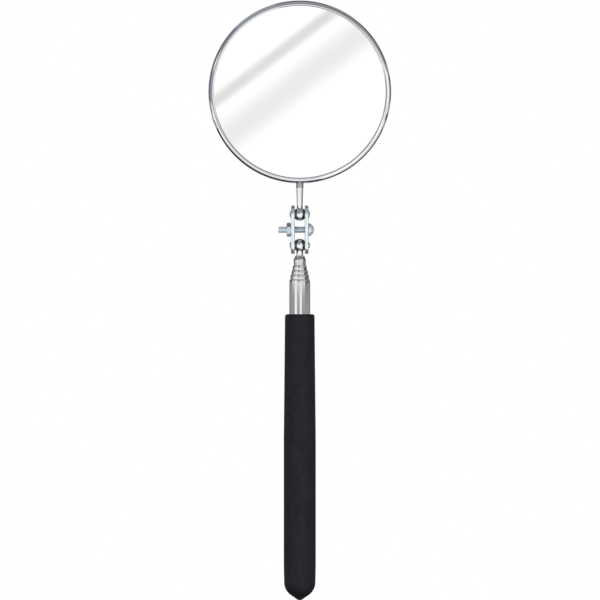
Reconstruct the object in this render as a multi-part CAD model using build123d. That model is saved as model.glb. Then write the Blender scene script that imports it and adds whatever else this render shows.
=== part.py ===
from build123d import *

import os
from math import cos, radians, sin, tan

# Telescoping inspection mirror. Lengths are in millimetres and angles in degrees.
# The origin is on the handle's axis, in the middle of the grip's straight stretch.
# +Z runs along the handle to the mirror, the mirror faces -Y, and the screw's head is on +X.

# Lengths closer than this count as equal.
HAIR = 0.01

# Cushion grip: straight in the middle, slimmer at the front, with a blunt cone at the butt.
GRIP_RADIUS = 7.25
GRIP_STRAIGHT_HALF = 28.5
GRIP_FRONT = 85.1
GRIP_FRONT_RADIUS = 6.7
GRIP_FRONT_ROUNDING = 1.1
GRIP_SHOULDER_RADIUS = 7.0
GRIP_SHOULDER_ROUNDING = 7.0
GRIP_TIP = -44.4
GRIP_TIP_RADIUS = 2.0
GRIP_CONE_ANGLE = 55.0

# Telescoping tubes, widest first. Each slides in the one before it.
TUBE_RADII = [4.8, 4.3, 3.8, 3.3, 2.8]
TUBE_FRONTS = [100.8, 103.0, 105.0, 107.1, 111.6]
TUBE_WALL = 0.3
TUBE_BACK = -37.0
TUBE_TRAVEL = 120.0
LIP_LENGTH = 1.2
LIP_CLEARANCE = 0.05
LIP_ROUNDING = 0.33
LIP_TAPER = 0.1
LIP_TAPER_LENGTH = 1.4
STOP_GAP = 0.1
FLARE_HEIGHT = 0.12
FLARE_LENGTH = 0.5

# Friction sleeves, one round the back end of each inner tube.
SLEEVE_LENGTH = 12.0
SLEEVE_CLEARANCE = 0.05
SLEEVE_SLIT = 0.5

# Plug in the back end of the outer tube.
PLUG_DEPTH = 3.4
PLUG_HEAD = 0.8

# Stud that carries the lower ball, held by the rolled-in end of the thinnest tube.
STUD_ROOT_LENGTH = 9.0
STUD_ROOT_CLEARANCE = 0.03
STUD_NECK_RADIUS = 1.55
STUD_NECK_CLEARANCE = 0.05
DOME_HEIGHT = 1.7
DOME_TOP_RADIUS = 2.0
DOME_ROUNDING = 1.6
DOME_TOP_ROUNDING = 0.3
DOME_WALL = 0.3

# The two balls and the clamp screw between them.
BALL_RADIUS = 3.0
BALL_SPACING = 14.0
CLAMP_CENTRE = 123.3
LOWER_BALL = CLAMP_CENTRE - BALL_SPACING / 2
UPPER_BALL = CLAMP_CENTRE + BALL_SPACING / 2
CUP_CLEARANCE = 0.02
SEAT_CLEARANCE = 0.03

# Clamp plates.
PLATE_INNER = 2.25
PLATE_THICKNESS = 1.7
PLATE_OUTER = PLATE_INNER + PLATE_THICKNESS
PLATE_WIDTH = 8.0
PLATE_ROUNDING = 0.4
DIMPLE_RADIUS = 1.9
DIMPLE_HEIGHT = 0.75
DIMPLE_BLEND = 0.25
DIMPLE_ROOT = 0.5

# Clamp screw and nut.
SCREW_RADIUS = 1.5
SCREW_HOLE_CLEARANCE = 0.08
SCREW_TIP = -9.7
SCREW_TIP_CHAMFER = 0.4
HEAD_RADIUS = 2.95
HEAD_RIM = 0.4
HEAD_HEIGHT = 2.55
HEAD_GAP = 0.02
SLOT_WIDTH = 0.8
SLOT_DEPTH = 1.1
NUT_ACROSS_FLATS = 5.5
NUT_THICKNESS = 2.0
NUT_THREAD_CLEARANCE = 0.02
NUT_TURN = 8.0
NUT_CORNER_CHAMFER = 0.35

# Tapered rod from the upper ball to the bracket, with a spigot in the bracket's socket.
STEM_BALL_RADIUS = 1.23
STEM_TOP_RADIUS = 1.6
STEM_TOP = 142.2
SPIGOT_RADIUS = 1.1
SPIGOT_LENGTH = 5.8
SPIGOT_CHAMFER = 0.2

# Bracket: a tube that takes the spigot, flattened at its far end and spot-welded to the case.
SOCKET_RADIUS = 1.7
SOCKET_CLEARANCE = 0.03
SOCKET_GAP = 0.05
SOCKET_DEPTH = 6.1
SOCKET_TOP = 149.5
TANG_START = 155.0
TANG_TOP = 168.0
TANG_WIDTH = 8.0
TANG_THICKNESS = 1.2
TANG_EDGE_ROUNDING = 0.55
WELD_HEIGHTS = [158.8, 163.6]
WELD_DENT_RADIUS = 4.0
WELD_DENT_DEPTH = 0.3

# Mirror head. Depths are measured forwards from the handle's axis, towards -Y.
CASE_RADIUS = 41.275
CASE_CENTRE = 185.5
CASE_BACK = 1.75
CASE_SHEET = 0.6
CASE_BACK_ROUNDING = 1.2
RIM_WIDTH = 2.5
RIM_HEIGHT = 1.0
RIM_OUTER_ROUNDING = 1.75
RIM_INNER_ROUNDING = 0.6
PAD_THICKNESS = 0.8
GLASS_RADIUS = 40.2
GLASS_THICKNESS = 2.4
GLASS_CHAMFER = 0.25


def save(part, node):
    """Write one sub-part, named after its node."""
    part.label = node
    export_step(part, os.path.join("parts", node + ".step"))


def turned(*corners):
    """Solid of revolution about Z. Each corner of its section is (radius, height, rounding)."""
    points = [(radius, 0, height) for radius, height, rounding in corners]
    roundings = [rounding for radius, height, rounding in corners]
    section = make_face(FilletPolyline(*points, radius=roundings, close=True))
    return revolve(section, Axis.Z, 360)


def cap(rim_radius, rim_height, rise, root):
    """Spherical cap standing on a rim about Z, carried on below the rim as a ball for the root's depth."""
    ball_radius = (rim_radius**2 + rise**2) / (2 * rise)
    ball_centre = rim_height + rise - ball_radius
    base = rim_height - root
    base_radius = (ball_radius**2 - (base - ball_centre) ** 2) ** 0.5
    middle = ball_radius * sin(radians(45))
    dome = ThreePointArc(
        (base_radius, 0, base),
        (middle, 0, ball_centre + middle),
        (0, 0, ball_centre + ball_radius),
    )
    floor = Polyline((0, 0, ball_centre + ball_radius), (0, 0, base), (base_radius, 0, base))
    return revolve(make_face([dome, floor]), Axis.Z, 360)


def facing_front(part):
    """Stand a part turned about Z on the mirror's centre, with its +Z pointing to -Y."""
    return Pos(0, 0, CASE_CENTRE) * Rot(90, 0, 0) * part


def along_x(part):
    """Lay a part turned about Z on the screw's axis, with its +Z pointing to +X."""
    return Pos(0, 0, CLAMP_CENTRE) * Rot(0, 90, 0) * part


def make_grip():
    """Dip-moulded sleeve with a closed butt. Its tip is a ball tangent to the butt's cone."""
    cone = radians(GRIP_CONE_ANGLE)
    touch_radius = GRIP_TIP_RADIUS * cos(cone)
    touch_height = GRIP_TIP + GRIP_TIP_RADIUS * (1 - sin(cone))
    shoulder_height = touch_height + (GRIP_SHOULDER_RADIUS - touch_radius) / tan(cone)
    bore_end = TUBE_BACK - PLUG_HEAD
    side = FilletPolyline(
        (touch_radius, 0, touch_height),
        (GRIP_SHOULDER_RADIUS, 0, shoulder_height),
        (GRIP_RADIUS, 0, -GRIP_STRAIGHT_HALF),
        (GRIP_RADIUS, 0, GRIP_STRAIGHT_HALF),
        (GRIP_FRONT_RADIUS, 0, GRIP_FRONT),
        (TUBE_RADII[0], 0, GRIP_FRONT),
        (TUBE_RADII[0], 0, bore_end),
        (0, 0, bore_end),
        radius=[GRIP_SHOULDER_ROUNDING, 0, 0, GRIP_FRONT_ROUNDING, 0, 0],
    )
    middle = radians(45 + GRIP_CONE_ANGLE / 2)
    ball_centre = GRIP_TIP + GRIP_TIP_RADIUS
    tip = ThreePointArc(
        (0, 0, GRIP_TIP),
        (GRIP_TIP_RADIUS * cos(middle), 0, ball_centre - GRIP_TIP_RADIUS * sin(middle)),
        (touch_radius, 0, touch_height),
    )
    core = Line((0, 0, bore_end), (0, 0, GRIP_TIP))
    return revolve(make_face([side, tip, core]), Axis.Z, 360)


def tube_back(stage):
    """Height of an inner tube's back end, set by its travel and the stop at its sleeve."""
    stop = TUBE_FRONTS[stage - 1] - LIP_LENGTH - STOP_GAP
    return stop - TUBE_TRAVEL - SLEEVE_LENGTH - FLARE_LENGTH


def make_outer_tube():
    """Widest tube, with its front end rolled in to guide the next one."""
    radius = TUBE_RADII[0]
    front = TUBE_FRONTS[0]
    lip = TUBE_RADII[1] + LIP_CLEARANCE
    return turned(
        (radius, TUBE_BACK, 0),
        (radius, front - LIP_TAPER_LENGTH, 0),
        (radius - LIP_TAPER, front, LIP_ROUNDING),
        (lip, front, 0),
        (lip, front - LIP_LENGTH, 0),
        (radius - TUBE_WALL, front - LIP_LENGTH, 0),
        (radius - TUBE_WALL, TUBE_BACK, 0),
    )


def make_inner_tube(stage):
    """Middle tube: flared at the back to hold its sleeve, rolled in at the front."""
    radius = TUBE_RADII[stage]
    front = TUBE_FRONTS[stage]
    back = tube_back(stage)
    lip = TUBE_RADII[stage + 1] + LIP_CLEARANCE
    return turned(
        (radius + FLARE_HEIGHT, back, 0),
        (radius + FLARE_HEIGHT, back + FLARE_LENGTH, 0),
        (radius, back + FLARE_LENGTH, 0),
        (radius, front - LIP_TAPER_LENGTH, 0),
        (radius - LIP_TAPER, front, LIP_ROUNDING),
        (lip, front, 0),
        (lip, front - LIP_LENGTH, 0),
        (radius - TUBE_WALL, front - LIP_LENGTH, 0),
        (radius - TUBE_WALL, back, 0),
    )


def make_last_tube():
    """Thinnest tube, domed over the root of the ball stud."""
    radius = TUBE_RADII[4]
    front = TUBE_FRONTS[4]
    back = tube_back(4)
    mouth = STUD_NECK_RADIUS + STUD_NECK_CLEARANCE
    return turned(
        (radius + FLARE_HEIGHT, back, 0),
        (radius + FLARE_HEIGHT, back + FLARE_LENGTH, 0),
        (radius, back + FLARE_LENGTH, 0),
        (radius, front - DOME_HEIGHT, DOME_ROUNDING),
        (DOME_TOP_RADIUS, front, DOME_TOP_ROUNDING),
        (mouth, front, 0),
        (mouth, front - 2 * DOME_WALL, 0),
        (radius - TUBE_WALL, front - DOME_HEIGHT - DOME_WALL, 0),
        (radius - TUBE_WALL, back, 0),
    )


def make_sleeve(stage):
    """Thin spring sleeve round an inner tube's back end, slit along its length."""
    inner = TUBE_RADII[stage]
    outer = TUBE_RADII[stage - 1] - TUBE_WALL - SLEEVE_CLEARANCE
    bottom = tube_back(stage) + FLARE_LENGTH
    ring = turned(
        (inner, bottom, 0),
        (outer, bottom, 0),
        (outer, bottom + SLEEVE_LENGTH, 0),
        (inner, bottom + SLEEVE_LENGTH, 0),
    )
    slit = Box(SLEEVE_SLIT, outer, SLEEVE_LENGTH, align=(Align.CENTER, Align.MIN, Align.MIN))
    return ring - Pos(0, inner / 2, bottom) * slit


def make_plug():
    """Plug pressed in the outer tube, with a head that covers the tube's end."""
    return turned(
        (0, TUBE_BACK - PLUG_HEAD, 0),
        (TUBE_RADII[0], TUBE_BACK - PLUG_HEAD, 0),
        (TUBE_RADII[0], TUBE_BACK, 0),
        (TUBE_RADII[0] - TUBE_WALL, TUBE_BACK, 0),
        (TUBE_RADII[0] - TUBE_WALL, TUBE_BACK + PLUG_DEPTH, 0),
        (0, TUBE_BACK + PLUG_DEPTH, 0),
    )


def ball_at(height, clearance=0.0):
    """Ball on the handle's axis, grown by a clearance when it is used to cut a rod's cupped end."""
    return Pos(0, 0, height) * Sphere(BALL_RADIUS + clearance)


def make_ball_stud():
    """Stud whose root sits in the thinnest tube and whose neck is cupped to the lower ball."""
    root = TUBE_RADII[4] - TUBE_WALL - STUD_ROOT_CLEARANCE
    shoulder = TUBE_FRONTS[4] - DOME_HEIGHT - DOME_WALL - STUD_ROOT_CLEARANCE
    stud = turned(
        (0, shoulder - STUD_ROOT_LENGTH, 0),
        (root, shoulder - STUD_ROOT_LENGTH, 0),
        (root, shoulder, 0),
        (STUD_NECK_RADIUS, shoulder, 0),
        (STUD_NECK_RADIUS, LOWER_BALL, 0),
        (0, LOWER_BALL, 0),
    )
    return stud - ball_at(LOWER_BALL, CUP_CLEARANCE)


def make_plate():
    """Clamp plate on the +X side: rounded ends, a pressed dimple over each ball, a screw hole."""
    outline = SlotCenterToCenter(BALL_SPACING, PLATE_WIDTH, rotation=90)
    blank = extrude(Plane.YZ.offset(PLATE_INNER) * Pos(0, CLAMP_CENTRE) * outline, PLATE_THICKNESS)
    blank = fillet(blank.edges().filter_by(Plane.YZ), PLATE_ROUNDING)

    dimple = Rot(0, 90, 0) * cap(DIMPLE_RADIUS, PLATE_OUTER, DIMPLE_HEIGHT, DIMPLE_ROOT)
    for height in (LOWER_BALL, UPPER_BALL):
        blank += Pos(0, 0, height) * dimple
    rims = blank.edges().filter_by(GeomType.CIRCLE).filter_by(
        lambda edge: abs(edge.radius - DIMPLE_RADIUS) < HAIR
    )
    blank = fillet(rims, DIMPLE_BLEND)

    seat = Rot(0, 90, 0) * Sphere(BALL_RADIUS + SEAT_CLEARANCE)
    for height in (LOWER_BALL, UPPER_BALL):
        blank -= Pos(0, 0, height) * seat
    hole = Cylinder(SCREW_RADIUS + SCREW_HOLE_CLEARANCE, 4 * PLATE_THICKNESS)
    return blank - Pos(PLATE_OUTER, 0, 0) * along_x(hole)


def make_screw():
    """Round-headed slotted screw along X, with its head against the +X plate."""
    seat = PLATE_OUTER + HEAD_GAP
    shank = turned(
        (0, SCREW_TIP, 0),
        (SCREW_RADIUS - SCREW_TIP_CHAMFER, SCREW_TIP, 0),
        (SCREW_RADIUS, SCREW_TIP + SCREW_TIP_CHAMFER, 0),
        (SCREW_RADIUS, seat + HEAD_RIM, 0),
        (0, seat + HEAD_RIM, 0),
    )
    head = cap(HEAD_RADIUS, seat + HEAD_RIM, HEAD_HEIGHT - HEAD_RIM, 0)
    head += Pos(0, 0, seat) * Cylinder(
        HEAD_RADIUS, HEAD_RIM, align=(Align.CENTER, Align.CENTER, Align.MIN)
    )
    slot = Pos(0, 0, seat + HEAD_HEIGHT) * Box(4 * HEAD_RADIUS, SLOT_WIDTH, 2 * SLOT_DEPTH)
    return along_x(shank + head - slot)


def make_nut():
    """Hexagon nut against the -X plate, with its corners chamfered on both faces."""
    corner_radius = NUT_ACROSS_FLATS / 2 / cos(radians(30))
    prism = extrude(RegularPolygon(corner_radius, 6), NUT_THICKNESS)
    rounded = turned(
        (0, 0, 0),
        (NUT_ACROSS_FLATS / 2, 0, 0),
        (corner_radius, NUT_CORNER_CHAMFER, 0),
        (corner_radius, NUT_THICKNESS - NUT_CORNER_CHAMFER, 0),
        (NUT_ACROSS_FLATS / 2, NUT_THICKNESS, 0),
        (0, NUT_THICKNESS, 0),
    )
    bore = Cylinder(SCREW_RADIUS + NUT_THREAD_CLEARANCE, 4 * NUT_THICKNESS)
    nut = (prism & rounded) - bore
    return along_x(Pos(0, 0, -PLATE_OUTER - NUT_THICKNESS) * Rot(0, 0, NUT_TURN) * nut)


def make_stem():
    """Tapered rod, cupped to the upper ball, with a spigot for the bracket's socket."""
    rod = turned(
        (0, UPPER_BALL, 0),
        (STEM_BALL_RADIUS, UPPER_BALL, 0),
        (STEM_TOP_RADIUS, STEM_TOP, 0),
        (SPIGOT_RADIUS, STEM_TOP, 0),
        (SPIGOT_RADIUS, STEM_TOP + SPIGOT_LENGTH - SPIGOT_CHAMFER, 0),
        (SPIGOT_RADIUS - SPIGOT_CHAMFER, STEM_TOP + SPIGOT_LENGTH, 0),
        (0, STEM_TOP + SPIGOT_LENGTH, 0),
    )
    return rod - ball_at(UPPER_BALL, CUP_CLEARANCE)


def make_bracket():
    """Socket that takes the stem, flattened above it into a tang on the case's back."""
    mouth = STEM_TOP + SOCKET_GAP
    socket = turned(
        (SPIGOT_RADIUS + SOCKET_CLEARANCE, mouth, 0),
        (SOCKET_RADIUS, mouth, 0),
        (SOCKET_RADIUS, SOCKET_TOP, 0),
        (0, SOCKET_TOP, 0),
        (0, mouth + SOCKET_DEPTH, 0),
        (SPIGOT_RADIUS + SOCKET_CLEARANCE, mouth + SOCKET_DEPTH, 0),
    )
    tang_middle = -CASE_BACK + TANG_THICKNESS / 2
    round_section = RectangleRounded(2 * SOCKET_RADIUS, 2 * SOCKET_RADIUS, SOCKET_RADIUS - HAIR)
    flat_section = RectangleRounded(TANG_WIDTH, TANG_THICKNESS, TANG_EDGE_ROUNDING)
    flattening = loft(
        [
            Pos(0, 0, SOCKET_TOP) * round_section,
            Pos(0, tang_middle, TANG_START) * flat_section,
        ],
        ruled=True,
    )
    tang = extrude(Pos(0, tang_middle, TANG_START) * flat_section, TANG_TOP - TANG_START)
    round_end = Pos(0, 0, TANG_TOP - TANG_WIDTH / 2) * Rot(90, 0, 0) * Cylinder(
        TANG_WIDTH / 2, 4 * TANG_THICKNESS
    )
    below_end = Pos(0, 0, TANG_TOP - TANG_WIDTH / 2) * Box(
        2 * TANG_WIDTH,
        4 * TANG_THICKNESS,
        2 * TANG_WIDTH,
        align=(Align.CENTER, Align.CENTER, Align.MAX),
    )
    tang &= round_end + below_end
    bracket = socket + flattening + tang

    tang_back = tang_middle + TANG_THICKNESS / 2
    for height in WELD_HEIGHTS:
        dent = Pos(0, tang_back + WELD_DENT_RADIUS - WELD_DENT_DEPTH, height) * Sphere(WELD_DENT_RADIUS)
        bracket -= dent
    return bracket


def make_case():
    """Round sheet-metal case, rolled over the glass into a rounded rim."""
    floor = CASE_BACK + CASE_SHEET
    glass_front = floor + PAD_THICKNESS + GLASS_THICKNESS
    case = turned(
        (0, CASE_BACK, 0),
        (CASE_RADIUS, CASE_BACK, CASE_BACK_ROUNDING),
        (CASE_RADIUS, glass_front + RIM_HEIGHT, RIM_OUTER_ROUNDING),
        (CASE_RADIUS - RIM_WIDTH, glass_front + RIM_HEIGHT, RIM_INNER_ROUNDING),
        (CASE_RADIUS - RIM_WIDTH, glass_front, 0),
        (CASE_RADIUS - CASE_SHEET, glass_front, 0),
        (CASE_RADIUS - CASE_SHEET, floor, 0),
        (0, floor, 0),
    )
    return facing_front(case)


def make_pad():
    """Thin pad between the glass and the case."""
    floor = CASE_BACK + CASE_SHEET
    disc = Cylinder(GLASS_RADIUS, PAD_THICKNESS, align=(Align.CENTER, Align.CENTER, Align.MIN))
    return facing_front(Pos(0, 0, floor) * disc)


def make_glass():
    """Round glass with its edges ground off."""
    back = CASE_BACK + CASE_SHEET + PAD_THICKNESS
    disc = Cylinder(GLASS_RADIUS, GLASS_THICKNESS, align=(Align.CENTER, Align.CENTER, Align.MIN))
    disc = chamfer(disc.edges().filter_by(GeomType.CIRCLE), GLASS_CHAMFER)
    return facing_front(Pos(0, 0, back) * disc)


os.makedirs("parts", exist_ok=True)

save(make_grip(), "cushion_grip")
save(make_outer_tube(), "outer_tube")
save(make_plug(), "butt_plug")

for stage in (1, 2, 3):
    save(make_inner_tube(stage), "tube_" + str(stage + 1))
save(make_last_tube(), "tube_5")
for stage in (1, 2, 3, 4):
    save(make_sleeve(stage), "friction_sleeve_" + str(stage + 1))

save(make_ball_stud(), "lower_ball_stud")
save(ball_at(LOWER_BALL), "lower_ball")

plate = make_plate()
save(plate, "clamp_plate_right")
save(mirror(plate, about=Plane.YZ), "clamp_plate_left")
save(make_screw(), "clamp_screw")
save(make_nut(), "clamp_nut")

save(ball_at(UPPER_BALL), "upper_ball")
save(make_stem(), "mirror_stem")
save(make_bracket(), "mirror_bracket")
save(make_case(), "mirror_case")
save(make_pad(), "backing_pad")
save(make_glass(), "mirror_glass")
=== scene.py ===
import math

import bmesh
import bpy
from mathutils import Matrix, Vector


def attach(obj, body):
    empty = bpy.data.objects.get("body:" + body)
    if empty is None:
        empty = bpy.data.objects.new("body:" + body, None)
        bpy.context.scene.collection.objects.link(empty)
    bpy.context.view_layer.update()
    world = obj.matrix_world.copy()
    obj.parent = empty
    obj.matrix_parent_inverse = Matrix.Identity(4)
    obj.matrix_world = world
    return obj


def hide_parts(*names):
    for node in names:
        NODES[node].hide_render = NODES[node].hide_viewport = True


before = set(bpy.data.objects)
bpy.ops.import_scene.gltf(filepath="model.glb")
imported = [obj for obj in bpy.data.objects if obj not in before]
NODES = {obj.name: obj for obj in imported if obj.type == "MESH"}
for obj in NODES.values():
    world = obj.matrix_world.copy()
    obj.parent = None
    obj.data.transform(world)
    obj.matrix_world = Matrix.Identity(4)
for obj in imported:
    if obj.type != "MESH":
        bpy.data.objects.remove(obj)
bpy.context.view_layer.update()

# Looks of the telescoping inspection mirror. Sizes are given in millimetres and turned to metres by MM.
# The frame is the CAD's: +Z along the handle to the mirror, the mirror faces -Y, the screw's head is on +X.

MM = 0.001

SMOOTH_ANGLE = math.radians(32)
ON_AXIS = 1e-6
NOISE_LOW = 0.3
NOISE_HIGH = 0.7

# Heights along the handle's axis, from the middle of the grip's straight part.
LOWER_BALL_HEIGHT = 116.3
SCREW_HEIGHT = 123.3
UPPER_BALL_HEIGHT = 130.3
HEAD_CENTRE = 185.5

GRIP_RADIUS = 7.25
GRIP_HALF_LENGTH = 28.5
GRIP_FRONT = 85.1
GRIP_FRONT_RADIUS = 6.7
GRIP_FRONT_ROUNDING = 1.1
GRIP_TIP = -44.4
GRIP_TIP_RADIUS = 2.0
GRIP_CONE_ANGLE = math.radians(55)
GRIP_SHOULDER_RADIUS = 7.0
GRIP_BORE_END = -37.8

OUTER_TUBE_RADIUS = 4.8
OUTER_TUBE_FRONT = 100.8
OUTER_TUBE_BACK = -37.0
OUTER_TUBE_MOUTH = 4.35
TUBE_WALL = 0.3
LIP_LENGTH = 1.4
LIP_DEPTH = 1.2
LIP_STEP = 0.1
LIP_ROUNDING = 0.33
FLARE = 0.12
FLARE_LENGTH = 0.5

# The last tube's domed front, with a hole for the stud's neck.
LAST_TUBE_RADIUS = 2.8
LAST_TUBE_BACK = -26.7
LAST_TUBE_FRONT = 111.6
LAST_BORE_FRONT = 109.6
DOME_START = 109.9
DOME_ROUNDING = 1.6
DOME_FACE_RADIUS = 2.0
DOME_FACE_ROUNDING = 0.3
NECK_HOLE_RADIUS = 1.6
NECK_HOLE_LENGTH = 0.6

BALL_RADIUS = 3.0
BALL_CLEARANCE = 0.02
STUD_RADIUS = 1.55
STUD_ROOT_RADIUS = 2.47
STUD_ROOT_BACK = 100.57
STUD_ROOT_FRONT = 109.57
STEM_BALL_END_RADIUS = 1.315
STEM_RADIUS = 1.6
STEM_TOP = 142.2
SPIGOT_RADIUS = 1.1
SPIGOT_TOP = 148.0
SPIGOT_CHAMFER = 0.2

THREAD_RADIUS = 1.5
THREAD_ROOT_RADIUS = 1.28
THREAD_PITCH = 0.5
THREAD_START = -9.7
THREAD_END = 4.1
SCREW_HEAD_RADIUS = 2.95
SCREW_HEAD_SEAT = 3.97
SCREW_HEAD_BAND = 0.4
SCREW_HEAD_RISE = 2.15
SLOT_HALF_WIDTH = 0.4
SLOT_FLOOR = 5.42
SLOT_CUT_REACH = 8
SLOT_CUT_TOP = 9

# The case and the glass: radii about the head's axis, and distances in front of the handle's axis.
CASE_RADIUS = 41.275
CASE_SHEET = 0.6
CASE_BACK = 1.75
CASE_BACK_ROUNDING = 1.2
RIM_WIDTH = 2.5
RIM_FRONT = 6.55
RIM_OUTER_ROUNDING = 1.75
RIM_INNER_ROUNDING = 0.6
GLASS_RADIUS = 40.2
GLASS_BACK = 3.15
GLASS_FRONT = 5.55
GLASS_BEVEL = 0.25


# ---------------------------------------------------------------- shapes

def corner_arc(before, corner, after, radius, steps):
    """Points of the arc that rounds a corner between two straight runs of an outline."""
    back = (Vector(before) - Vector(corner)).normalized()
    ahead = (Vector(after) - Vector(corner)).normalized()
    half = back.angle(ahead) / 2
    reach = radius / math.tan(half)
    centre = Vector(corner) + (back + ahead).normalized() * (radius / math.sin(half))
    start = Vector(corner) + back * reach - centre
    end = Vector(corner) + ahead * reach - centre
    turn = start.angle_signed(end)
    points = []
    for step in range(steps + 1):
        angle = -turn * step / steps
        x = start.x * math.cos(angle) - start.y * math.sin(angle)
        y = start.x * math.sin(angle) + start.y * math.cos(angle)
        points.append((centre.x + x, centre.y + y))
    return points


def outline(*corners, steps):
    """Outline through (radius, height) corners; a third number rounds that corner."""
    flat = [corner[:2] for corner in corners]
    points = []
    for index, corner in enumerate(corners):
        rounding = corner[2] if len(corner) > 2 else 0
        if rounding:
            before = flat[index - 1]
            after = flat[(index + 1) % len(flat)]
            points += corner_arc(before, flat[index], after, rounding, steps)
        else:
            points.append(flat[index])
    return points


def mark_sharp(bm):
    """Shade smooth, with the edges above SMOOTH_ANGLE kept sharp."""
    for face in bm.faces:
        face.smooth = True
    for edge in bm.edges:
        edge.smooth = len(edge.link_faces) != 2 or edge.calc_face_angle(0) < SMOOTH_ANGLE


def new_object(name, bm, material, body, place=Matrix.Identity(4)):
    """Make a piece from a bmesh in millimetres, set it in place and let it ride on its body."""
    bm.transform(place)
    bm.transform(Matrix.Scale(MM, 4))
    bmesh.ops.recalc_face_normals(bm, faces=bm.faces)
    mark_sharp(bm)
    mesh = bpy.data.meshes.new(name)
    bm.to_mesh(mesh)
    bm.free()
    piece = bpy.data.objects.new(name, mesh)
    bpy.context.scene.collection.objects.link(piece)
    mesh.materials.append(material)
    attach(piece, body)
    return piece


def turned_mesh(points, segments):
    """Closed surface of revolution about Z from an outline of (radius, height) points."""
    bm = bmesh.new()
    rings = []
    for radius, height in points:
        if radius < ON_AXIS:
            rings.append([bm.verts.new((0, 0, height))])
            continue
        ring = []
        for index in range(segments):
            angle = 2 * math.pi * index / segments
            ring.append(bm.verts.new((radius * math.cos(angle), radius * math.sin(angle), height)))
        rings.append(ring)
    for index, ring in enumerate(rings):
        join_rings(bm, ring, rings[(index + 1) % len(rings)])
    return bm


def join_rings(bm, low, high):
    """Faces between two rings, either of which may be a single point."""
    if len(low) == 1 and len(high) == 1:
        return
    count = max(len(low), len(high))
    for index in range(count):
        after = (index + 1) % count
        corners = (
            low[index % len(low)],
            low[after % len(low)],
            high[after % len(high)],
            high[index % len(high)],
        )
        bm.faces.new(list(dict.fromkeys(corners)))


def turned(name, points, material, body, segments, place=Matrix.Identity(4)):
    """Turned piece about Z, moved to its place."""
    return new_object(name, turned_mesh(points, segments), material, body, place)


def stand_for(node):
    """The piece is shown in place of a CAD node, which is hidden."""
    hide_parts(node)


# ---------------------------------------------------------------- materials
# Noise scales are in turns per metre of the object: cloudy patches of several millimetres, and a fine grain.

CLOUD_SCALE = 140
GRAIN_SCALE = 700
GRAIN_DEPTH = 0.02


class Shader:
    """A Principled material with a few helpers for its procedural detail."""

    def __init__(self, name, color, metallic, roughness):
        self.material = bpy.data.materials.new(name)
        self.material.use_nodes = True
        self.nodes = self.material.node_tree.nodes
        self.links = self.material.node_tree.links
        self.surface = self.nodes["Principled BSDF"]
        self.surface.inputs["Base Color"].default_value = (*color, 1)
        self.surface.inputs["Metallic"].default_value = metallic
        self.surface.inputs["Roughness"].default_value = roughness
        self.place = self.nodes.new("ShaderNodeTexCoord").outputs["Object"]

    def noise(self, scale, detail, stretch=(1, 1, 1)):
        """Noise over the object's own coordinates, stretched along an axis if asked."""
        mapping = self.nodes.new("ShaderNodeMapping")
        mapping.inputs["Scale"].default_value = stretch
        self.links.new(self.place, mapping.inputs["Vector"])
        texture = self.nodes.new("ShaderNodeTexNoise")
        texture.inputs["Scale"].default_value = scale
        texture.inputs["Detail"].default_value = detail
        self.links.new(mapping.outputs["Vector"], texture.inputs["Vector"])
        return texture.outputs["Fac"]

    def spread(self, value, low, high, start=NOISE_LOW, end=NOISE_HIGH):
        """Map a noise value to a range."""
        node = self.nodes.new("ShaderNodeMapRange")
        node.inputs["From Min"].default_value = start
        node.inputs["From Max"].default_value = end
        node.inputs["To Min"].default_value = low
        node.inputs["To Max"].default_value = high
        self.links.new(value, node.inputs["Value"])
        return node.outputs["Result"]

    def tint(self, value, low, high):
        """Blend two colours by a noise value and use them as the base colour."""
        ramp = self.nodes.new("ShaderNodeValToRGB")
        ramp.color_ramp.elements[0].position = NOISE_LOW
        ramp.color_ramp.elements[0].color = (*low, 1)
        ramp.color_ramp.elements[1].position = NOISE_HIGH
        ramp.color_ramp.elements[1].color = (*high, 1)
        self.links.new(value, ramp.inputs["Fac"])
        self.links.new(ramp.outputs["Color"], self.surface.inputs["Base Color"])

    def roughen(self, value, low, high):
        """Vary the roughness by a noise value."""
        self.links.new(self.spread(value, low, high), self.surface.inputs["Roughness"])

    def bump(self, *layers):
        """Bump from (value, strength, distance in mm) layers, one over another."""
        normal = None
        for value, strength, distance in layers:
            node = self.nodes.new("ShaderNodeBump")
            node.inputs["Strength"].default_value = strength
            node.inputs["Distance"].default_value = distance * MM
            self.links.new(value, node.inputs["Height"])
            if normal is not None:
                self.links.new(normal, node.inputs["Normal"])
            normal = node.outputs["Normal"]
        self.links.new(normal, self.surface.inputs["Normal"])


def vinyl():
    """Dark dip-moulded vinyl: matte, faintly mottled, with a fine skin texture."""
    made = Shader("vinyl", (0.006, 0.0067, 0.0108), 0.0, 0.58)
    made.surface.inputs["Specular IOR Level"].default_value = 0.28
    mottle = made.noise(160, 5, (1, 1, 0.6))
    made.tint(mottle, (0.0038, 0.0043, 0.0078), (0.0082, 0.0092, 0.0138))
    made.roughen(made.noise(420, 3), 0.52, 0.72)
    made.bump((made.noise(900, 3), 0.35, 0.08), (made.noise(120, 3), 0.3, 0.25))
    return made.material


def metal(name, color, roughness, spread, lines=None, cloud=0.03, bump=0.15, metallic=1.0):
    """Plated or polished metal with faint clouding and, if asked, drawn lines."""
    made = Shader(name, color, metallic, roughness)
    clouds = made.noise(CLOUD_SCALE, 4)
    darker = tuple(max(0.0, part - cloud) for part in color)
    lighter = tuple(min(1.0, part + cloud) for part in color)
    made.tint(clouds, darker, lighter)
    stretch = lines or (1, 1, 1)
    fine = made.noise(GRAIN_SCALE, 4, stretch)
    made.roughen(fine, roughness - spread, roughness + spread)
    made.bump((fine, bump, GRAIN_DEPTH))
    return made.material


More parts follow.
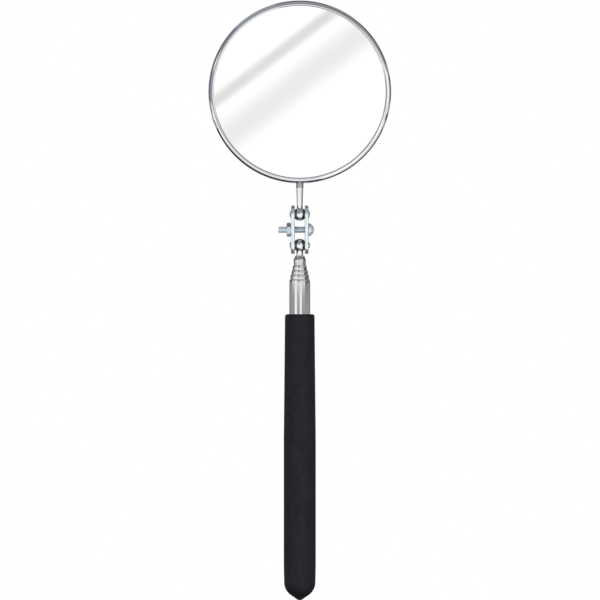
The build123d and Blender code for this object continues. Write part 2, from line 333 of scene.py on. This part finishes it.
PLATE_BRIGHT = (0.82, 0.89, 0.93)
# The dark grey is painted shade, laid on the plates' inner faces where they face each other across the balls.
PLATE_PAINTED_SHADE = (0.17, 0.18, 0.19)
PLATE_SHADE_WITHIN = 2.3 * MM
PLATE_BRIGHT_BEYOND = 2.55 * MM


def plate_metal():
    """Bright zinc, with painted shade on the plates' inner faces, which lie nearest the handle's axis."""
    made = Shader("bright_zinc", PLATE_BRIGHT, 0.93, 0.22)
    made.bump((made.noise(GRAIN_SCALE, 4), 0.02, GRAIN_DEPTH))
    apart = made.nodes.new("ShaderNodeSeparateXYZ")
    made.links.new(made.place, apart.inputs["Vector"])
    off_axis = made.nodes.new("ShaderNodeMath")
    off_axis.operation = "ABSOLUTE"
    made.links.new(apart.outputs["X"], off_axis.inputs[0])
    uneven = made.spread(made.noise(400, 3), -0.05 * MM, 0.05 * MM)
    shifted = made.nodes.new("ShaderNodeMath")
    made.links.new(off_axis.outputs["Value"], shifted.inputs[0])
    made.links.new(uneven, shifted.inputs[1])
    # Painted shade: dark grey close to the handle's axis, the plate's own zinc further out.
    unshaded = made.spread(shifted.outputs["Value"], 0.0, 1.0, PLATE_SHADE_WITHIN, PLATE_BRIGHT_BEYOND)
    made.tint(unshaded, PLATE_PAINTED_SHADE, PLATE_BRIGHT)
    return made.material


def ring_noise(made, radius, scale, detail):
    """Noise that changes with the distance from the head's axis only."""
    rings = made.nodes.new("ShaderNodeTexNoise")
    rings.noise_dimensions = "1D"
    rings.inputs["Scale"].default_value = scale
    rings.inputs["Detail"].default_value = detail
    made.links.new(radius, rings.inputs["W"])
    return rings.outputs["Fac"]


def mixed(made, share, first, second):
    """The first value where share is 0 and the second where it is 1."""
    node = made.nodes.new("ShaderNodeMix")
    made.links.new(share, node.inputs["Factor"])
    made.links.new(first, node.inputs["A"])
    made.links.new(second, node.inputs["B"])
    return node.outputs["Result"]


# The rim's bright finish gives way to the satin one between these two places along Y.
RIM_FINISH_END = -5.2 * MM
SATIN_START = -4.6 * MM
FINE_RING_SCALE = 2500
WIDE_RING_SCALE = 950


def case_metal():
    """Stainless: bright on the rim, satin on the side and back, which are spun in fine rings."""
    made = Shader("stainless", (0.76, 0.75, 0.775), 1.0, 0.08)
    axes = made.nodes.new("ShaderNodeSeparateXYZ")
    made.links.new(made.place, axes.inputs["Vector"])
    behind = made.spread(axes.outputs["Y"], 0.0, 1.0, RIM_FINISH_END, SATIN_START)
    centred = made.nodes.new("ShaderNodeMapping")
    centred.inputs["Location"].default_value = (0, 0, -HEAD_CENTRE * MM)
    centred.inputs["Scale"].default_value = (1, 0, 1)
    made.links.new(made.place, centred.inputs["Vector"])
    length = made.nodes.new("ShaderNodeVectorMath")
    length.operation = "LENGTH"
    made.links.new(centred.outputs["Vector"], length.inputs[0])
    radius = length.outputs["Value"]
    fine_rings = ring_noise(made, radius, FINE_RING_SCALE, 5)
    wide_rings = ring_noise(made, radius, WIDE_RING_SCALE, 4)
    clouds = made.spread(made.noise(CLOUD_SCALE, 4), 0.47, 0.53)
    made.tint(mixed(made, behind, clouds, wide_rings), (0.68, 0.67, 0.695), (0.84, 0.83, 0.855))
    bright = made.spread(made.noise(GRAIN_SCALE, 4), 0.06, 0.1)
    satin = made.spread(fine_rings, 0.34, 0.46)
    made.links.new(mixed(made, behind, bright, satin), made.surface.inputs["Roughness"])
    relief = made.nodes.new("ShaderNodeMath")
    relief.operation = "MULTIPLY"
    made.links.new(fine_rings, relief.inputs[0])
    made.links.new(behind, relief.inputs[1])
    made.bump((relief.outputs["Value"], 0.25, 0.01))
    return made.material


VINYL = vinyl()
NICKEL = metal("satin_nickel", (0.66, 0.67, 0.66), 0.12, 0.025, lines=(1, 1, 0.03), cloud=0.015, bump=0.06)
CHROME = metal("chrome", (0.86, 0.84, 0.81), 0.05, 0.015, cloud=0.01, bump=0.01)
STEM = metal("bright_nickel", (0.84, 0.83, 0.79), 0.13, 0.02, lines=(1, 1, 0.05), cloud=0.008, bump=0.008)
PLATE = plate_metal()
NUT = metal("blue_zinc_nut", (0.56, 0.63, 0.69), 0.24, 0.04, cloud=0.03, bump=0.02, metallic=0.85)
SCREW = metal("blue_zinc", (0.68, 0.78, 0.85), 0.26, 0.04, cloud=0.02, bump=0.02, metallic=0.6)
# The bracket's dark grey is painted shade, for the shadow under the rim where the stem meets the case.
BRACKET_PAINTED_SHADE = metal("bracket_steel_painted_shade", (0.48, 0.48, 0.49), 0.3, 0.05, cloud=0.03, bump=0.03)
STAINLESS = case_metal()
BRONZE = metal("spring_bronze", (0.66, 0.42, 0.2), 0.3, 0.06)


def mirror_face():
    """Silvered glass: a clean mirror with the faintest haze."""
    made = Shader("silvered_glass", (0.95, 0.95, 0.952), 1.0, 0.015)
    made.roughen(made.noise(60, 3), 0.008, 0.024)
    made.surface.inputs["Coat Weight"].default_value = 0.2
    made.surface.inputs["Coat Roughness"].default_value = 0.01
    return made.material


def fibre(name, low, high, roughness):
    """Dull moulded or fibrous stuff for the hidden pieces."""
    made = Shader(name, low, 0.0, roughness)
    made.tint(made.noise(300, 5), low, high)
    made.bump((made.noise(600, 3), 0.3, 0.05))
    return made.material


GLASS = mirror_face()
PLASTIC = fibre("black_plastic", (0.03, 0.03, 0.03), (0.05, 0.05, 0.05), 0.5)
CARD = fibre("fibre_card", (0.28, 0.21, 0.14), (0.38, 0.3, 0.2), 0.9)

NODE_MATERIALS = {
    "butt_plug": PLASTIC,
    "friction_sleeve_2": BRONZE,
    "friction_sleeve_3": BRONZE,
    "friction_sleeve_4": BRONZE,
    "friction_sleeve_5": BRONZE,
    "clamp_plate_left": PLATE,
    "clamp_plate_right": PLATE,
    "clamp_nut": NUT,
    "mirror_bracket": BRACKET_PAINTED_SHADE,
    "backing_pad": CARD,
}
for node, material in NODE_MATERIALS.items():
    mesh = NODES[node].data
    mesh.materials.clear()
    mesh.materials.append(material)


# ---------------------------------------------------------------- handle

def grip_outline():
    """Closed grip: bullet butt, straight middle, slimmer rounded front, bored for the tube."""
    quarter = math.pi / 2
    steps = 8
    ball = GRIP_TIP + GRIP_TIP_RADIUS
    nose = []
    for step in range(steps + 1):
        angle = quarter - (quarter - GRIP_CONE_ANGLE) * step / steps
        nose.append((GRIP_TIP_RADIUS * math.cos(angle), ball - GRIP_TIP_RADIUS * math.sin(angle)))
    touch_radius, touch_height = nose[-1]
    shoulder = touch_height + (GRIP_SHOULDER_RADIUS - touch_radius) / math.tan(GRIP_CONE_ANGLE)
    side = outline(
        (touch_radius, touch_height),
        (GRIP_SHOULDER_RADIUS, shoulder, GRIP_SHOULDER_RADIUS),
        (GRIP_RADIUS, -GRIP_HALF_LENGTH),
        (GRIP_RADIUS, GRIP_HALF_LENGTH),
        (GRIP_FRONT_RADIUS, GRIP_FRONT, GRIP_FRONT_ROUNDING),
        (OUTER_TUBE_RADIUS, GRIP_FRONT),
        (OUTER_TUBE_RADIUS, GRIP_BORE_END),
        (0, GRIP_BORE_END),
        steps=14,
    )
    return nose[:-1] + side


def tube_outline(radius, front, back, mouth):
    """Tube with its front rolled in round the next one."""
    bore = radius - TUBE_WALL
    return outline(
        (radius, back),
        (radius, front - LIP_LENGTH),
        (radius - LIP_STEP, front, LIP_ROUNDING),
        (mouth, front),
        (mouth, front - LIP_DEPTH),
        (bore, front - LIP_DEPTH),
        (bore, back),
        steps=8,
    )


def flare_points(radius, back):
    """The flare at an inner tube's back end, which holds its friction sleeve."""
    return [(radius + FLARE, back), (radius + FLARE, back + FLARE_LENGTH), (radius, back + FLARE_LENGTH)]


grip_piece = turned("grip", grip_outline(), VINYL, "handle", 128)
stand_for("cushion_grip")

outer_outline = tube_outline(OUTER_TUBE_RADIUS, OUTER_TUBE_FRONT, OUTER_TUBE_BACK, OUTER_TUBE_MOUTH)
outer_piece = turned("tube_one", outer_outline, NICKEL, "handle", 128)
stand_for("outer_tube")

# Node, body, radius, front, back and radius of the mouth, for each stage with a rolled front.
STAGES = [
    ("tube_2", "stage_2", 4.3, 103.0, -33.0, 3.85),
    ("tube_3", "stage_3", 3.8, 105.0, -30.8, 3.35),
    ("tube_4", "stage_4", 3.3, 107.1, -28.8, 2.85),
]
for node, body, radius, front, back, mouth in STAGES:
    points = flare_points(radius, back) + tube_outline(radius, front, back, mouth)[1:]
    stage_piece = turned(node + "_shown", points, NICKEL, body, 112)
    stand_for(node)

last_tube = outline(
    (LAST_TUBE_RADIUS, LAST_TUBE_BACK),
    (LAST_TUBE_RADIUS, DOME_START, DOME_ROUNDING),
    (DOME_FACE_RADIUS, LAST_TUBE_FRONT, DOME_FACE_ROUNDING),
    (NECK_HOLE_RADIUS, LAST_TUBE_FRONT),
    (NECK_HOLE_RADIUS, LAST_TUBE_FRONT - NECK_HOLE_LENGTH),
    (LAST_TUBE_RADIUS - TUBE_WALL, LAST_BORE_FRONT),
    (LAST_TUBE_RADIUS - TUBE_WALL, LAST_TUBE_BACK),
    steps=10,
)
last_outline = flare_points(LAST_TUBE_RADIUS, LAST_TUBE_BACK) + last_tube[1:]
last_piece = turned("tube_5_shown", last_outline, NICKEL, "stage_5", 112)
stand_for("tube_5")


# ---------------------------------------------------------------- ball joint

def ball_outline(radius, height, steps=32):
    """Half circle from pole to pole."""
    points = []
    for step in range(steps + 1):
        angle = -math.pi / 2 + math.pi * step / steps
        points.append((abs(radius * math.cos(angle)), height + radius * math.sin(angle)))
    return points


def cup_points(rod_radius, ball_height, side, steps=8):
    """Points across a rod's end, cupped to a ball, from the axis out to the rod's side."""
    cup = BALL_RADIUS + BALL_CLEARANCE
    reach = math.asin(rod_radius / cup)
    points = []
    for step in range(steps + 1):
        angle = reach * step / steps
        points.append((cup * math.sin(angle), ball_height + side * cup * math.cos(angle)))
    return points


def ball(name, height, body, node):
    """Chrome ball on the handle's axis."""
    piece = turned(name, ball_outline(BALL_RADIUS, height), CHROME, body, 64)
    stand_for(node)


ball("ball_low", LOWER_BALL_HEIGHT, "ball_below", "lower_ball")
ball("ball_high", UPPER_BALL_HEIGHT, "ball_above", "upper_ball")

# Stud: a wide root held inside the last tube, and a neck cupped to the lower ball.
stud_root = [
    (0, STUD_ROOT_BACK),
    (STUD_ROOT_RADIUS, STUD_ROOT_BACK),
    (STUD_ROOT_RADIUS, STUD_ROOT_FRONT),
    (STUD_RADIUS, STUD_ROOT_FRONT),
]
stud_cup = cup_points(STUD_RADIUS, LOWER_BALL_HEIGHT, -1)
stud_piece = turned("ball_neck", stud_root + stud_cup[::-1], CHROME, "ball_stud", 64)
stand_for("lower_ball_stud")

# Stem: a rod that widens from the upper ball to the bracket, and a spigot in the bracket's socket.
stem_cup = cup_points(STEM_BALL_END_RADIUS, UPPER_BALL_HEIGHT, 1)
stem_side = [
    (STEM_RADIUS, STEM_TOP),
    (SPIGOT_RADIUS, STEM_TOP),
    (SPIGOT_RADIUS, SPIGOT_TOP - SPIGOT_CHAMFER),
    (SPIGOT_RADIUS - SPIGOT_CHAMFER, SPIGOT_TOP),
    (0, SPIGOT_TOP),
]
stem_piece = turned("stem_rod", stem_cup + stem_side, STEM, "stem", 64)
stand_for("mirror_stem")


# ---------------------------------------------------------------- clamp screw

SCREW_PLACE = Matrix.Translation((0, 0, SCREW_HEIGHT)) @ Matrix.Rotation(math.radians(90), 4, "Y")


def thread_mesh(segments=40, rings_per_turn=10):
    """Threaded shank about Z: the radius follows a helix between crest and root, and its end is tapered."""
    crest_flat = 1.25
    taper_length = 0.5
    taper_start = 0.35
    core = THREAD_ROOT_RADIUS * 0.9
    length = THREAD_END - THREAD_START
    count = int(length / THREAD_PITCH * rings_per_turn)
    bm = bmesh.new()
    rings = [[bm.verts.new((0, 0, THREAD_START))]]
    for step in range(count + 1):
        height = THREAD_START + length * step / count
        taper = min(1.0, (height - THREAD_START) / taper_length + taper_start)
        ring = []
        for index in range(segments):
            turn = index / segments
            phase = (height / THREAD_PITCH - turn) % 1.0
            ridge = min(1.0, (1 - abs(2 * phase - 1)) * crest_flat)
            full = THREAD_ROOT_RADIUS + (THREAD_RADIUS - THREAD_ROOT_RADIUS) * ridge
            radius = core + (full - core) * taper
            angle = 2 * math.pi * turn
            ring.append(bm.verts.new((radius * math.cos(angle), radius * math.sin(angle), height)))
        rings.append(ring)
    rings.append([bm.verts.new((0, 0, THREAD_END))])
    for low, high in zip(rings, rings[1:]):
        join_rings(bm, low, high)
    return bm


def screw_head_mesh():
    """Round head: a short straight band and a dome on it."""
    chamfer_width = 0.15
    chamfer_height = 0.12
    steps = 24
    band_top = SCREW_HEAD_SEAT + SCREW_HEAD_BAND
    sphere = (SCREW_HEAD_RADIUS**2 + SCREW_HEAD_RISE**2) / (2 * SCREW_HEAD_RISE)
    centre = band_top + SCREW_HEAD_RISE - sphere
    start = math.asin((band_top - centre) / sphere)
    points = [
        (0, SCREW_HEAD_SEAT),
        (SCREW_HEAD_RADIUS - chamfer_width, SCREW_HEAD_SEAT),
        (SCREW_HEAD_RADIUS, SCREW_HEAD_SEAT + chamfer_height),
    ]
    for step in range(steps):
        angle = start + (math.pi / 2 - start) * step / steps
        points.append((sphere * math.cos(angle), centre + sphere * math.sin(angle)))
    points.append((0, band_top + SCREW_HEAD_RISE))
    bm = turned_mesh(points, 96)
    bmesh.ops.recalc_face_normals(bm, faces=bm.faces)
    return bm


def cut_box(bm, low, high):
    """Cut a box out of a mesh with an exact boolean."""
    mesh = bpy.data.meshes.new("cut_base")
    bm.to_mesh(mesh)
    bm.free()
    base = bpy.data.objects.new("cut_base", mesh)
    box = bmesh.new()
    bmesh.ops.create_cube(box, size=1)
    size = [top - bottom for bottom, top in zip(low, high)]
    middle = [(top + bottom) / 2 for bottom, top in zip(low, high)]
    box.transform(Matrix.Translation(middle) @ Matrix.Diagonal((*size, 1)))
    tool_mesh = bpy.data.meshes.new("cut_tool")
    box.to_mesh(tool_mesh)
    box.free()
    tool = bpy.data.objects.new("cut_tool", tool_mesh)
    for thing in (base, tool):
        bpy.context.scene.collection.objects.link(thing)
    cut = base.modifiers.new("cut", "BOOLEAN")
    cut.operation = "DIFFERENCE"
    cut.solver = "EXACT"
    cut.object = tool
    graph = bpy.context.evaluated_depsgraph_get()
    result = bpy.data.meshes.new_from_object(base.evaluated_get(graph))
    made = bmesh.new()
    made.from_mesh(result)
    bpy.data.objects.remove(base)
    bpy.data.objects.remove(tool)
    for leftover in (mesh, tool_mesh, result):
        bpy.data.meshes.remove(leftover)
    return made


slot_low = (-SLOT_CUT_REACH, -SLOT_HALF_WIDTH, SLOT_FLOOR)
slot_high = (SLOT_CUT_REACH, SLOT_HALF_WIDTH, SLOT_CUT_TOP)
slotted_head = cut_box(screw_head_mesh(), slot_low, slot_high)
head_piece = new_object("screw_head", slotted_head, SCREW, "screw", SCREW_PLACE)
stand_for("clamp_screw")
thread_piece = new_object("screw_thread", thread_mesh(), SCREW, "screw", SCREW_PLACE)


# ---------------------------------------------------------------- mirror head

HEAD_PLACE = Matrix.Translation((0, 0, HEAD_CENTRE)) @ Matrix.Rotation(math.radians(90), 4, "X")

# Section of the case: back, rounded edge, side, and the rim rolled over the glass.
case_outline = outline(
    (0, CASE_BACK),
    (CASE_RADIUS, CASE_BACK, CASE_BACK_ROUNDING),
    (CASE_RADIUS, RIM_FRONT, RIM_OUTER_ROUNDING),
    (CASE_RADIUS - RIM_WIDTH, RIM_FRONT, RIM_INNER_ROUNDING),
    (CASE_RADIUS - RIM_WIDTH, GLASS_FRONT),
    (CASE_RADIUS - CASE_SHEET, GLASS_FRONT),
    (CASE_RADIUS - CASE_SHEET, CASE_BACK + CASE_SHEET),
    (0, CASE_BACK + CASE_SHEET),
    steps=16,
)
case_piece = turned("case", case_outline, STAINLESS, "mirror_head", 256, HEAD_PLACE)
stand_for("mirror_case")

glass_outline = [
    (0, GLASS_BACK),
    (GLASS_RADIUS - GLASS_BEVEL, GLASS_BACK),
    (GLASS_RADIUS, GLASS_BACK + GLASS_BEVEL),
    (GLASS_RADIUS, GLASS_FRONT - GLASS_BEVEL),
    (GLASS_RADIUS - GLASS_BEVEL, GLASS_FRONT),
    (0, GLASS_FRONT),
]
glass_piece = turned("glass", glass_outline, GLASS, "mirror_head", 192, HEAD_PLACE)
stand_for("mirror_glass")


# ---------------------------------------------------------------- stage
# Places and sizes of the stage are in metres.

BLACK = (0.05, 0.05, 0.06)
DARK = (0.13, 0.13, 0.145)
WHITE = (1.0, 1.0, 1.0)
COOL = (0.91, 1.0, 1.09)
MAUVE = (0.98, 0.95, 1.05)

BACKDROP_RADIUS = 10
FLOOR_RADIUS = 1.3
FLOOR_HEIGHT = -0.12
SKY_RADIUS = 1.6
SKY_HEIGHT = 0.13


def flat_material(name, color, strength):
    """Emission of one colour, for cards and the backdrop."""
    material = bpy.data.materials.new(name)
    material.use_nodes = True
    nodes = material.node_tree.nodes
    nodes.clear()
    glow = nodes.new("ShaderNodeEmission")
    glow.inputs["Color"].default_value = (*color, 1)
    glow.inputs["Strength"].default_value = strength
    out = nodes.new("ShaderNodeOutputMaterial")
    material.node_tree.links.new(glow.outputs["Emission"], out.inputs["Surface"])
    return material


def stage_object(name, bm, material, camera=False, glossy=True, diffuse=True, shadow=False):
    """Add a floor, backdrop or card that isn't part of the object."""
    mesh = bpy.data.meshes.new(name)
    bm.to_mesh(mesh)
    bm.free()
    thing = bpy.data.objects.new(name, mesh)
    bpy.context.scene.collection.objects.link(thing)
    mesh.materials.append(material)
    thing.visible_camera = camera
    thing.visible_glossy = glossy
    thing.visible_diffuse = diffuse
    thing.visible_shadow = shadow


def card(name, corners, material):
    """Flat four-cornered card."""
    bm = bmesh.new()
    bm.faces.new([bm.verts.new(corner) for corner in corners])
    stage_object(name, bm, material)


def upright_card(name, azimuth, distance, width, low, high, strength):
    """Upright white card facing the handle, at an azimuth from straight in front, positive to +X."""
    angle = math.radians(azimuth)
    out = Vector((math.sin(angle), -math.cos(angle), 0))
    along = Vector((math.cos(angle), math.sin(angle), 0))
    left = out * distance - along * width / 2
    right = out * distance + along * width / 2
    corners = [
        (left.x, left.y, low),
        (right.x, right.y, low),
        (right.x, right.y, high),
        (left.x, left.y, high),
    ]
    card(name, corners, flat_material(name, WHITE, strength))


dome = bmesh.new()
bmesh.ops.create_icosphere(dome, subdivisions=4, radius=BACKDROP_RADIUS)
backdrop_glow = flat_material("backdrop", WHITE, 1.0)
stage_object("backdrop", dome, backdrop_glow, camera=True, glossy=False, diffuse=False)

floor = bmesh.new()
bmesh.ops.create_circle(floor, cap_ends=True, segments=96, radius=FLOOR_RADIUS)
floor.transform(Matrix.Translation((0, 0, FLOOR_HEIGHT)))
pale = Shader("pale_floor", (0.9, 0.9, 0.9), 0.0, 0.8)
pale.tint(pale.noise(3, 2), (0.89, 0.89, 0.89), (0.91, 0.91, 0.91))
pale.surface.inputs["Emission Color"].default_value = (1, 1, 1, 1)
pale.surface.inputs["Emission Strength"].default_value = 0.22
stage_object("floor", floor, pale.material, camera=True, glossy=False, shadow=True)


def sky_patch(name, polar, ring, color, strength=1.0, steps=24):
    """Patch of a great ball round the object, seen only in reflections. Polar angles are measured
    from straight in front, and ring angles round that axis from +X towards +Z."""
    bm = bmesh.new()
    rows = []
    for row in range(steps + 1):
        away = math.radians(polar[0] + (polar[1] - polar[0]) * row / steps)
        points = []
        for column in range(steps + 1):
            turn = math.radians(ring[0] + (ring[1] - ring[0]) * column / steps)
            out = SKY_RADIUS * math.sin(away)
            x = out * math.cos(turn)
            y = -SKY_RADIUS * math.cos(away)
            z = SKY_HEIGHT + out * math.sin(turn)
            points.append(bm.verts.new((x, y, z)))
        rows.append(points)
    for low, high in zip(rows, rows[1:]):
        for column in range(steps):
            bm.faces.new((low[column], low[column + 1], high[column + 1], high[column]))
    stage_object(name, bm, flat_material(name, color, strength), diffuse=False)


# What the rim, the balls and the plates' edges show: dark and grey above, white below in front, and a pale
# panel behind for the case's back.
sky_patch("dark_ring", (138, 154), (0, 360), BLACK, steps=48)
sky_patch("dark_right", (70, 130), (22, 50), DARK)
sky_patch("dark_above_right", (30, 130), (50, 74), MAUVE, 0.28)
sky_patch("dark_above", (28, 100), (74, 104), MAUVE, 0.33)
sky_patch("black_above", (100, 130), (74, 104), BLACK)
sky_patch("grey_above", (8, 100), (104, 132), COOL, 0.4)
sky_patch("grey_above_left", (8, 60), (132, 166), COOL, 0.36)
sky_patch("dim_above_left", (60, 130), (132, 166), COOL, 0.2)
sky_patch("white_below", (8, 58), (200, 285), WHITE, 1.0)
sky_patch("dark_below", (58, 130), (200, 285), BLACK)
sky_patch("white_below_right", (8, 78), (285, 340), WHITE, 1.0)
sky_patch("dark_below_right", (78, 130), (285, 340), BLACK)
sky_patch("back_panel", (154, 180), (0, 360), WHITE, 0.9)

# White card round the lens. The mirror shows it, with two soft grey bands that rise to the right. At its
# foot it fades to the grey of the world round it, so that its lower edge doesn't show.
LENS_CARD_Y = -1.2
LENS_CARD_HALF_WIDTH = 0.075
LENS_CARD_LOW = 0.080
LENS_CARD_HIGH = 0.310
LENS_CARD_DIM_BELOW = 0.124
LENS_CARD_FULL_ABOVE = 0.150
LENS_CARD_DIM = 0.42
LENS_CARD_FULL = 1.10

# Slope in degrees, a point (x, z) on the middle line, half the width, the softness and the depth of the grey.
GREY_BANDS = [
    (37.2, (-0.0172, 0.2540), 0.0028, 0.0042, 0.305),
    (37.9, (-0.0038, 0.2348), 0.0070, 0.0108, 0.200),
]


def band_card_material():
    """White glow crossed by the soft grey bands, laid out over the card's own X and Z."""
    material = bpy.data.materials.new("lens_card")
    material.use_nodes = True
    nodes = material.node_tree.nodes
    links = material.node_tree.links
    nodes.clear()
    coordinates = nodes.new("ShaderNodeTexCoord")
    level = None
    for slope, (through_x, through_z), half_width, softness, depth in GREY_BANDS:
        mapping = nodes.new("ShaderNodeMapping")
        mapping.vector_type = "TEXTURE"
        mapping.inputs["Location"].default_value = (through_x, 0, through_z)
        mapping.inputs["Rotation"].default_value = (0, -math.radians(slope), 0)
        links.new(coordinates.outputs["Object"], mapping.inputs["Vector"])
        apart = nodes.new("ShaderNodeSeparateXYZ")
        links.new(mapping.outputs["Vector"], apart.inputs["Vector"])
        distance = nodes.new("ShaderNodeMath")
        distance.operation = "ABSOLUTE"
        links.new(apart.outputs["Z"], distance.inputs[0])
        fade = nodes.new("ShaderNodeMapRange")
        fade.interpolation_type = "SMOOTHSTEP"
        fade.inputs["From Min"].default_value = half_width - softness / 2
        fade.inputs["From Max"].default_value = half_width + softness
        fade.inputs["To Min"].default_value = 1 - depth
        fade.inputs["To Max"].default_value = 1.0
        links.new(distance.outputs["Value"], fade.inputs["Value"])
        if level is None:
            level = fade.outputs["Result"]
        else:
            both = nodes.new("ShaderNodeMath")
            both.operation = "MULTIPLY"
            links.new(level, both.inputs[0])
            links.new(fade.outputs["Result"], both.inputs[1])
            level = both.outputs["Value"]
    height = nodes.new("ShaderNodeSeparateXYZ")
    links.new(coordinates.outputs["Object"], height.inputs["Vector"])
    below = nodes.new("ShaderNodeMapRange")
    below.interpolation_type = "SMOOTHSTEP"
    below.inputs["From Min"].default_value = LENS_CARD_DIM_BELOW
    below.inputs["From Max"].default_value = LENS_CARD_FULL_ABOVE
    below.inputs["To Min"].default_value = LENS_CARD_DIM
    below.inputs["To Max"].default_value = LENS_CARD_FULL
    links.new(height.outputs["Z"], below.inputs["Value"])
    strength = nodes.new("ShaderNodeMath")
    strength.operation = "MULTIPLY"
    links.new(level, strength.inputs[0])
    links.new(below.outputs["Result"], strength.inputs[1])
    glow = nodes.new("ShaderNodeEmission")
    links.new(strength.outputs["Value"], glow.inputs["Strength"])
    out = nodes.new("ShaderNodeOutputMaterial")
    links.new(glow.outputs["Emission"], out.inputs["Surface"])
    return material


lens_corners = [
    (-LENS_CARD_HALF_WIDTH, LENS_CARD_Y, LENS_CARD_LOW),
    (LENS_CARD_HALF_WIDTH, LENS_CARD_Y, LENS_CARD_LOW),
    (LENS_CARD_HALF_WIDTH, LENS_CARD_Y, LENS_CARD_HIGH),
    (-LENS_CARD_HALF_WIDTH, LENS_CARD_Y, LENS_CARD_HIGH),
]
card("lens_card", lens_corners, band_card_material())

upright_card("left_softbox", -43.5, 1.2, 0.54, -0.5, 0.6, 1.33)
upright_card("front_softbox", 13, 1.15, 0.24, -0.5, 0.30, 1.75)


def arc_band(name, azimuths, distance, low, high, strength, color=WHITE, steps=16):
    """Upright band bent round the handle, between two azimuths from straight in front."""
    bm = bmesh.new()
    edges = []
    for step in range(steps + 1):
        angle = math.radians(azimuths[0] + (azimuths[1] - azimuths[0]) * step / steps)
        x = distance * math.sin(angle)
        y = -distance * math.cos(angle)
        edges.append((bm.verts.new((x, y, low)), bm.verts.new((x, y, high))))
    for (low_a, high_a), (low_b, high_b) in zip(edges, edges[1:]):
        bm.faces.new((low_a, low_b, high_b, high_a))
    stage_object(name, bm, flat_material(name, color, strength), diffuse=False)


# White floor-side band, too low for the tubes to show, that the mirror meets when it is seen from above.
arc_band("low_white", (-60, 75), 1.45, -1.4, 0.06, 1.0)

# Bands close round the joint, too high for the tubes to show: white in front for the stem, balls and
# plates, dark at the sides for their edges. Each is a distance, a low edge and a high edge.
JOINT_BAND = (0.25, 0.113, 0.134)
arc_band("joint_white", (-92, 62), *JOINT_BAND, 1.08)
arc_band("joint_dark_right", (62, 118), *JOINT_BAND, 0.08)
arc_band("joint_dark_left", (-126, -92), *JOINT_BAND, 0.08)

# Bands round the head, for its rim: white on its right, grey on its left, dark behind.
RIM_BAND = (0.3, 0.165, 0.25)
arc_band("rim_white", (10, 74), *RIM_BAND, 1.15)
arc_band("rim_grey", (-62, -10), *RIM_BAND, 0.41, COOL)
arc_band("rim_dark_right", (70, 140), *RIM_BAND, 0.14)
arc_band("rim_dark_left", (-140, -62), *RIM_BAND, 0.22, COOL)

world = bpy.data.worlds.new("studio")
bpy.context.scene.world = world
world.use_nodes = True
background = world.node_tree.nodes["Background"]
background.inputs["Color"].default_value = (0.42, 0.425, 0.43, 1)
background.inputs["Strength"].default_value = 1.0


def area_light(name, place, target, size, power):
    """Soft square light aimed at a point, left out of reflections."""
    data = bpy.data.lights.new(name, "AREA")
    data.shape = "SQUARE"
    data.size = size
    data.energy = power
    lamp = bpy.data.objects.new(name, data)
    lamp.location = place
    lamp.rotation_euler = (Vector(target) - Vector(place)).to_track_quat("-Z", "Y").to_euler()
    lamp.visible_glossy = False
    bpy.context.scene.collection.objects.link(lamp)


LIGHTS_AIM = (0, 0, 0.1)
area_light("key", (-1.0, -1.6, 1.6), LIGHTS_AIM, 1.2, 26)
area_light("fill", (1.4, -1.2, 0.6), LIGHTS_AIM, 1.4, 10)


# ---------------------------------------------------------------- camera

CAMERA_DISTANCE = 2.5
CAMERA_HEIGHT = 0.0915
CAMERA_SIDE = 0.0001
FRAME_HEIGHT = 0.2715
SENSOR_WIDTH = 36
VIEW_LIMIT = 50

camera_data = bpy.data.cameras.new("camera")
camera_data.sensor_width = SENSOR_WIDTH
camera_data.lens = SENSOR_WIDTH * CAMERA_DISTANCE / FRAME_HEIGHT
camera_data.clip_end = VIEW_LIMIT
camera = bpy.data.objects.new("camera", camera_data)
camera.location = (CAMERA_SIDE, -CAMERA_DISTANCE, CAMERA_HEIGHT)
camera.rotation_euler = (math.radians(90), 0, 0)
bpy.context.scene.collection.objects.link(camera)
bpy.context.scene.camera = camera

bpy.context.scene.view_settings.view_transform = "Standard"
bpy.context.scene.view_settings.look = "None"
